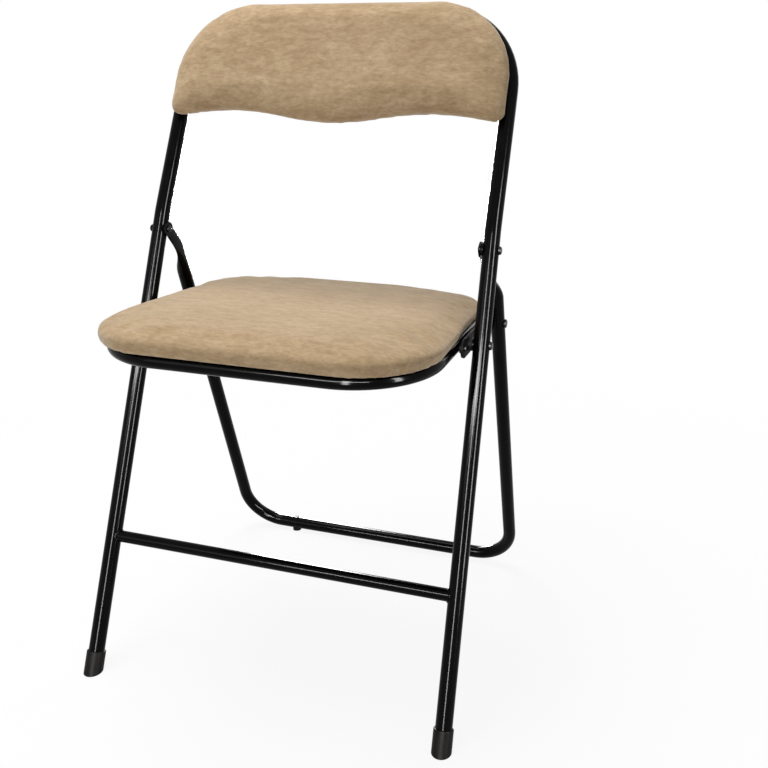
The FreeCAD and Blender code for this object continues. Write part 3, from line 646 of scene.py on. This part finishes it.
seat_levels = crown_levels(SEAT_TUCK, SEAT_CROWN, SEAT_ROLL)
seat_stack = [(seat_loop(inset - FULLER), share) for share, inset in seat_levels]
seat_pad = stacked_form("seat_pad", seat_stack,
                        lambda point, share: on_seat(point, share * seat_rise(point)))
remeshed(seat_pad, SEAT_NET)
print("seat net:", len(seat_pad.data.vertices), "points")
reach = swell(seat_pad, lambda place: place.z < SEAT_BASE + STAPLED_HEIGHT)
print(f"seat swelled by up to {reach * 1000:.1f} mm")
pull_rim(seat_pad, seat_loop(0, 720), off_seat, on_seat, seat_rise, SEAT_TUCK, SEAT_BOARD_INSET)

# %% [markdown]
# ## The back pad
# The back pad is thinner, and it leans with the hoop. Its own plane is given by two directions: up along
# the hoop and out towards the sitter. It sits on the front of the tube, so its base is one tube radius out.

# %% Back pad: stack, net, swell and rim
BACK_LEAN = math.radians(25.1)
BACK_UP = Vector((0, math.sin(BACK_LEAN), math.cos(BACK_LEAN)))
BACK_OUT = Vector((0, -BACK_UP.z, BACK_UP.y))
HOOP_TOP = Vector((0, 0.12598, 0.7805))
PAD_BASE = 0.0096
PAD_RISE = 0.024
PAD_NET = 0.004
PAD_TUCK = 0.003
PAD_CROWN = 0.026
PAD_ROLL = 1.3
PAD_BOARD_INSET = 0.0045


def on_back(point, out):
    """Point of the back's plane: across, up from the hoop's top, and out from the tube's axis."""
    return HOOP_TOP + Vector((point.x, 0, 0)) + BACK_UP * point.y + BACK_OUT * out


def off_back(place):
    from_top = place - HOOP_TOP
    return Vector((from_top.x, from_top.dot(BACK_UP))), from_top.dot(BACK_OUT) - PAD_BASE


def pad_rise(point):
    """How thick the back pad is, the same at every place."""
    return PAD_RISE


def pad_place(point, height):
    return on_back(point, PAD_BASE + height)


pad_levels = crown_levels(PAD_TUCK, PAD_CROWN, PAD_ROLL)
pad_stack = [(pad_loop(inset - FULLER), share) for share, inset in pad_levels]
back_pad = stacked_form("back_pad", pad_stack, lambda point, share: pad_place(point, share * PAD_RISE))
remeshed(back_pad, PAD_NET)
print("back net:", len(back_pad.data.vertices), "points")
reach = swell(back_pad, lambda place: off_back(place)[1] < STAPLED_HEIGHT)
print(f"back pad swelled by up to {reach * 1000:.1f} mm")
pull_rim(back_pad, pad_loop(0, 900), off_back, pad_place, pad_rise, PAD_TUCK, PAD_BOARD_INSET)

# %% [markdown]
# ## Cover and mount the pads
# Each pad takes the place of the plain cover and foam of the engineering model, and moves with the body that
# carries its board. Smooth shading and one level of subdivision hide the squares of the net.

# %% Finish both pads
def finish_pad(piece, body, *nodes):
    """Smooth, cover and mount a pad in place of its plain solids."""
    for face in piece.data.polygons:
        face.use_smooth = True
    smooth = piece.modifiers.new("fine", "SUBSURF")
    smooth.levels = 1
    smooth.render_levels = 1
    piece.data.materials.clear()
    piece.data.materials.append(velvet)
    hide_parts(*nodes)
    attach(piece, body)
    print(piece.name, "rides on", body, "in place of", ", ".join(nodes))


finish_pad(seat_pad, "seat", "seat_cover", "seat_foam")
finish_pad(back_pad, "front_frame", "backrest_cover", "backrest_foam")

# %% [markdown]
# ## Hems and staples
# The velvet is folded over the board's edge and stapled on its back, so a strip of the cloth's wrong side
# shows there, drawn with the velvet's recipe at about a third of its tones, with a cut edge that is never
# quite straight, and a row of wire staples. The strip is a band between two outlines; a staple is a bent
# wire, and a curve with a round section draws it best.

# %% Hems and staples
STAPLE_LENGTH = 0.011
STAPLE_GAP = 0.040
STAPLE_WIRE = 0.0009
STAPLE_LEG = 0.003
STAPLE_CROWN = -0.0006
HEM_HEIGHTS = (-0.00001, -0.00007)
CUT_WANDER = 0.0015
LUG_TOP_X = 0.085
LUG_TOP_REACH = -0.05
LUG_SIDE_Y = -0.118
LUG_SIDE_REACH = 0.165
LUG_CLEARANCE = 0.022


def hem_strip(name, outer, inner, place, body):
    """A thin closed band of cloth between two outlines, on the back of a pad."""
    build = bmesh.new()
    upper, lower = HEM_HEIGHTS
    section = ((outer, upper), (inner, upper), (inner, lower), (outer, lower))
    rings = [[build.verts.new(place(point, height)) for point in loop] for loop, height in section]
    for ring, following in zip(rings, rings[1:] + rings[:1]):
        for index in range(len(ring)):
            after = (index + 1) % len(ring)
            build.faces.new((ring[index], ring[after], following[after], following[index]))
    bmesh.ops.recalc_face_normals(build, faces=build.faces)
    mesh = bpy.data.meshes.new(name)
    build.to_mesh(mesh)
    build.free()
    mesh.materials.append(velvet_back)
    hem = bpy.data.objects.new(name, mesh)
    bpy.context.collection.objects.link(hem)
    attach(hem, body)
    print(name, "rides on", body)


def wire_piece(name, runs, thick, finish, body, closed=False):
    """Round wire along each run of points, as one piece, a little uneven along the way."""
    shape = bpy.data.curves.new(name, "CURVE")
    shape.dimensions = "3D"
    shape.bevel_depth = thick / 2
    shape.bevel_resolution = 2
    for run in runs:
        spline = shape.splines.new("POLY")
        spline.points.add(len(run) - 1)
        spline.use_cyclic_u = closed
        for count, (knot, place) in enumerate(zip(spline.points, run)):
            knot.co = (*place, 1)
            knot.radius = 1 + 0.12 * math.sin(2.1 * count)
    shape.materials.append(finish)
    piece = bpy.data.objects.new(name, shape)
    bpy.context.collection.objects.link(piece)
    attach(piece, body)
    print(name, "has", len(runs), "runs and rides on", body)


def cut_edge(outline, inset, count):
    """An outline whose inset wanders, like cloth cut by hand."""
    near = outline(inset - CUT_WANDER, count)
    far = outline(inset + CUT_WANDER, count)
    turns = [math.tau * index / count for index in range(count)]
    shares = [0.5 + 0.3 * math.sin(7 * turn) + 0.2 * math.sin(19 * turn + 1) for turn in turns]
    return [first.lerp(second, share) for first, second, share in zip(near, far, shares)]


def staples(loop, place, is_free):
    """Runs of wire for staples along an outline: up a leg, along the crown, down the other leg."""
    step = (loop[1] - loop[0]).length
    every = round(STAPLE_GAP / step)
    runs = []
    for index in range(0, len(loop) - every // 2, every):
        along = (loop[(index + 1) % len(loop)] - loop[index]).normalized() * STAPLE_LENGTH / 2
        ends = [loop[index] - along, loop[index] + along]
        if is_free(loop[index]):
            runs.append([place(ends[0], STAPLE_LEG), place(ends[0], STAPLE_CROWN),
                         place(ends[1], STAPLE_CROWN), place(ends[1], STAPLE_LEG)])
    return runs


def clear_of_lugs(point):
    """Whether a place on the pad's back is away from the four lugs of the hoop."""
    beside_top = abs(abs(point.x) - LUG_TOP_X) < LUG_CLEARANCE and point.y > LUG_TOP_REACH
    beside_side = abs(point.y - LUG_SIDE_Y) < LUG_CLEARANCE and abs(point.x) > LUG_SIDE_REACH
    return not beside_top and not beside_side


HEM_POINTS = 240
hem_strip("seat_hem", seat_loop(0.006, HEM_POINTS), cut_edge(seat_loop, 0.045, HEM_POINTS), on_seat, "seat")
hem_strip("back_hem", pad_loop(0.005, HEM_POINTS), cut_edge(pad_loop, 0.030, HEM_POINTS), pad_place,
          "front_frame")
wire_piece("seat_staples", staples(seat_loop(0.036, 400), on_seat, lambda point: True), STAPLE_WIRE,
           dark_steel, "seat")
wire_piece("back_staples", staples(pad_loop(0.021, 400), pad_place, clear_of_lugs), STAPLE_WIRE,
           dark_steel, "front_frame")

# %% [markdown]
# ## Weld beads
# The crossbar is welded to the legs all round its ends. A weld follows the saddle where one tube meets
# another: go round the bar, and at each angle step back by as much as the leg's round side has turned away.

# %% Beads at the crossbar's ends
BAR_RADIUS = 0.007
LEG_RADIUS = 0.0095
LEG_LEAN = math.radians(20.6)
BEAD = 0.0026
BAR_END = Vector((0.2187, -0.1325, 0.153))


def saddle(side, count=60):
    """Points where the crossbar's skin meets the leg's, on one side of the chair."""
    run = []
    for index in range(count):
        turn = math.tau * index / count
        back, up = BAR_RADIUS * math.cos(turn), BAR_RADIUS * math.sin(turn)
        aside = back * math.cos(LEG_LEAN) - up * math.sin(LEG_LEAN)
        across = BAR_END.x - math.sqrt(LEG_RADIUS ** 2 - aside ** 2)
        run.append(Vector((side * across, BAR_END.y + back, BAR_END.z + up)))
    return run


wire_piece("crossbar_welds", [saddle(1), saddle(-1)], BEAD, black_enamel,
           "front_frame", closed=True)

# %% [markdown]
# ## The floor and the white studio
# A product picture on white has no horizon. The floor is a wide disc that is white to the camera and still
# takes a soft shadow: part of it glows evenly and part of it is lit like paper, and further out it only
# glows, so that it runs into the white world. The world is white to the camera and in reflections, and a
# plain grey for the light that it gives.

# %% Floor, world and view
FLOOR_RADIUS = 6.0
FLOOR_DROP = 0.0005
SHADOW_NEAR = 0.45
SHADOW_FAR = 1.3
GLOW_NEAR = 0.89
AMBIENT = 0.40


def make_floor():
    """A paper disc that glows white to the camera and in gloss, and takes a faint shadow near the chair."""
    build = bmesh.new()
    bmesh.ops.create_circle(build, cap_ends=True, segments=96, radius=FLOOR_RADIUS)
    mesh = bpy.data.meshes.new("studio_floor")
    build.to_mesh(mesh)
    build.free()
    floor = bpy.data.objects.new("studio_floor", mesh)
    floor.location = (0, 0, -FLOOR_DROP)
    bpy.context.collection.objects.link(floor)
    paper = bpy.data.materials.new("studio_paper")
    paper.use_nodes = True
    tree = paper.node_tree
    tree.nodes.clear()
    output = tree.nodes.new("ShaderNodeOutputMaterial")
    mix = tree.nodes.new("ShaderNodeMixShader")
    glow = tree.nodes.new("ShaderNodeEmission")
    matt = tree.nodes.new("ShaderNodeBsdfDiffuse")
    path = tree.nodes.new("ShaderNodeLightPath")
    place = tree.nodes.new("ShaderNodeTexCoord")
    reach = tree.nodes.new("ShaderNodeVectorMath")
    reach.operation = "LENGTH"
    tree.links.new(place.outputs["Object"], reach.inputs[0])
    fade = tree.nodes.new("ShaderNodeMapRange")
    fade.inputs["From Min"].default_value = SHADOW_NEAR
    fade.inputs["From Max"].default_value = SHADOW_FAR
    fade.inputs["To Min"].default_value = GLOW_NEAR
    fade.inputs["To Max"].default_value = 1.0
    tree.links.new(reach.outputs["Value"], fade.inputs["Value"])
    seen = tree.nodes.new("ShaderNodeMath")
    seen.operation = "MAXIMUM"
    tree.links.new(path.outputs["Is Camera Ray"], seen.inputs[0])
    tree.links.new(path.outputs["Is Glossy Ray"], seen.inputs[1])
    share = tree.nodes.new("ShaderNodeMath")
    share.operation = "MULTIPLY"
    tree.links.new(seen.outputs["Value"], share.inputs[0])
    tree.links.new(fade.outputs["Result"], share.inputs[1])
    tree.links.new(share.outputs["Value"], mix.inputs["Fac"])
    matt.inputs["Color"].default_value = (0.9, 0.9, 0.9, 1)
    tree.links.new(matt.outputs["BSDF"], mix.inputs[1])
    tree.links.new(glow.outputs["Emission"], mix.inputs[2])
    tree.links.new(mix.outputs["Shader"], output.inputs["Surface"])
    mesh.materials.append(paper)


make_floor()
world = bpy.data.worlds.new("studio_white")
bpy.context.scene.world = world
world.use_nodes = True
sky = world.node_tree
background = sky.nodes["Background"]
path = sky.nodes.new("ShaderNodeLightPath")
seen = path.outputs["Is Camera Ray"]
for ray in ("Is Glossy Ray", "Is Transmission Ray"):
    either = sky.nodes.new("ShaderNodeMath")
    either.operation = "MAXIMUM"
    sky.links.new(seen, either.inputs[0])
    sky.links.new(path.outputs[ray], either.inputs[1])
    seen = either.outputs["Value"]
level = sky.nodes.new("ShaderNodeMapRange")
level.inputs["To Min"].default_value = AMBIENT
level.inputs["To Max"].default_value = 1.0
sky.links.new(seen, level.inputs["Value"])
sky.links.new(level.outputs["Result"], background.inputs["Strength"])
background.inputs["Color"].default_value = (1, 1, 1, 1)
bpy.context.scene.view_settings.view_transform = "Standard"
print("floor and world are white to the camera")

# %% [markdown]
# ## Lamps
# One broad soft box overhead lights the seat, so that its top is lighter than its front, and one in front
# and one behind fill the pads. Three tall strips only show in the gloss: each round tube carries them as
# thin bright lines, as gloss tubes do in a studio, and the velvet isn't lit by them. A fourth lies across,
# above the camera, for the bars that run from side to side.

# %% Soft boxes and strips
def soft_box(name, place, target, width, height, watts, only_gloss=False):
    lamp_data = bpy.data.lights.new(name, "AREA")
    lamp_data.shape = "RECTANGLE"
    lamp_data.size = width
    lamp_data.size_y = height
    lamp_data.energy = watts
    lamp = bpy.data.objects.new(name, lamp_data)
    lamp.location = place
    lamp.rotation_euler = (Vector(target) - Vector(place)).to_track_quat("-Z", "Y").to_euler()
    lamp.visible_diffuse = not only_gloss
    bpy.context.collection.objects.link(lamp)
    print(f"{name}: {watts} W, {width} by {height} m")


CHAIR_MIDDLE = (0, 0, 0.42)
soft_box("soft_box_top", (-0.5, 0.0, 2.4), CHAIR_MIDDLE, 1.4, 1.0, 40)
soft_box("soft_box_front", (-1.2, -2.2, 1.2), CHAIR_MIDDLE, 1.0, 1.0, 9)
soft_box("soft_box_rear", (0.8, 2.2, 1.1), CHAIR_MIDDLE, 1.0, 1.0, 8)
soft_box("strip_front", (0.35, -2.6, 0.9), CHAIR_MIDDLE, 0.35, 2.2, 250, only_gloss=True)
soft_box("strip_high", (0.2, -2.3, 1.25), CHAIR_MIDDLE, 2.6, 0.25, 230, only_gloss=True)
soft_box("strip_right", (2.2, -0.9, 0.8), CHAIR_MIDDLE, 0.35, 2.0, 210, only_gloss=True)
soft_box("strip_rear", (-1.0, 2.4, 0.9), CHAIR_MIDDLE, 0.35, 2.2, 250, only_gloss=True)
